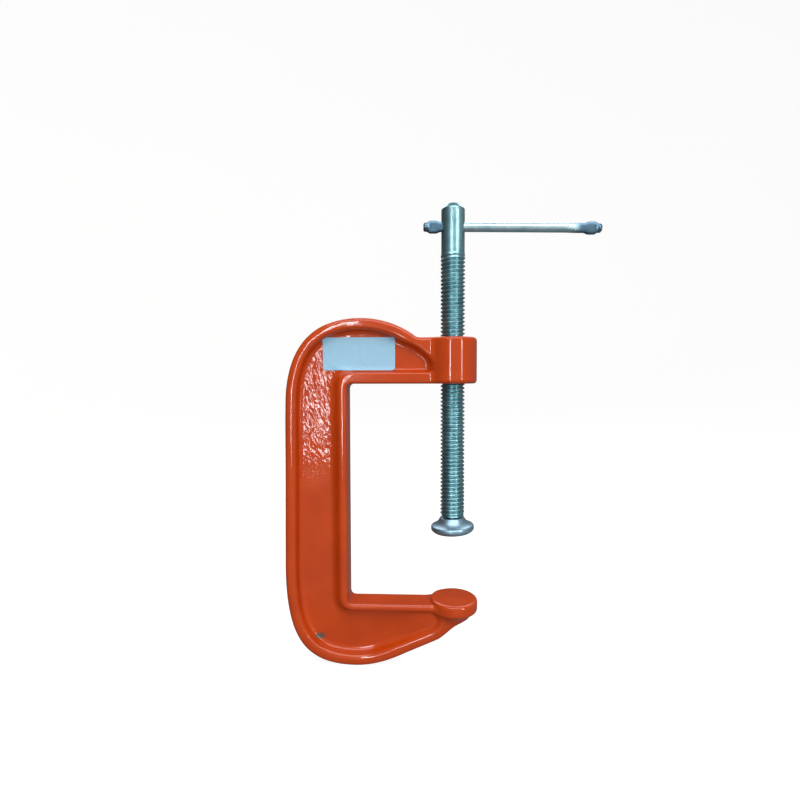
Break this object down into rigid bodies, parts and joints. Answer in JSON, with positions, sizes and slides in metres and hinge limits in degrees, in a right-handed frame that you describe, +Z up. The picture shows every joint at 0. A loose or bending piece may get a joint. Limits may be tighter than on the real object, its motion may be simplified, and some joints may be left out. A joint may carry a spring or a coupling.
{
  "type": "c clamp",
  "caption": "C clamp: painted cast frame with a round anvil and a screw boss, threaded spindle with a swivel pad, and a sliding tommy bar.",
  "frame": {"origin": "Middle of the anvil's flat clamping face, on the screw axis.", "axes": "+Z up the screw axis from the anvil to the tommy bar; +X from the spine towards the open side of the throat; the front of the casting, which carries the label, faces -Y."},
  "size_m": [0.1369, 0.0212, 0.202],
  "materials": {
    "frame_paint": "glossy orange enamel over a casting",
    "label_paper": "plain coated paper",
    "spindle_zinc": "blue zinc plate over a rolled thread",
    "bar_zinc": "blue zinc plate over drawn rod",
    "pad_zinc": "blue zinc plate over pressed steel"
  },
  "bodies": {
    "frame": {"frame": "frame_paint", "paper_label": "label_paper"},
    "pad": {"swivel_pad": "pad_zinc"},
    "spindle": {"spindle": "spindle_zinc"},
    "bar": {"tommy_bar": "bar_zinc"}
  },
  "joints": [
    {"name": "screw_feed", "type": "slide", "parent": "frame", "child": "pad", "axis": [0, 0, 1], "range_m": [-0.0291, 0.0585]},
    {"name": "screw_turn", "type": "hinge", "parent": "pad", "child": "spindle", "pos_m": [0, 0, 0.0335], "axis": [0, 0, 1], "range_deg": [-6160, 12380]},
    {"name": "bar_slide", "type": "slide", "parent": "spindle", "child": "bar", "axis": [0.9998, 0, -0.0209], "range_m": [-0.0503, 0]}
  ],
  "couplings": [
    {"joint": "screw_feed", "follows": "screw_turn", "m_per_rad": 0.00027056}
  ]
}
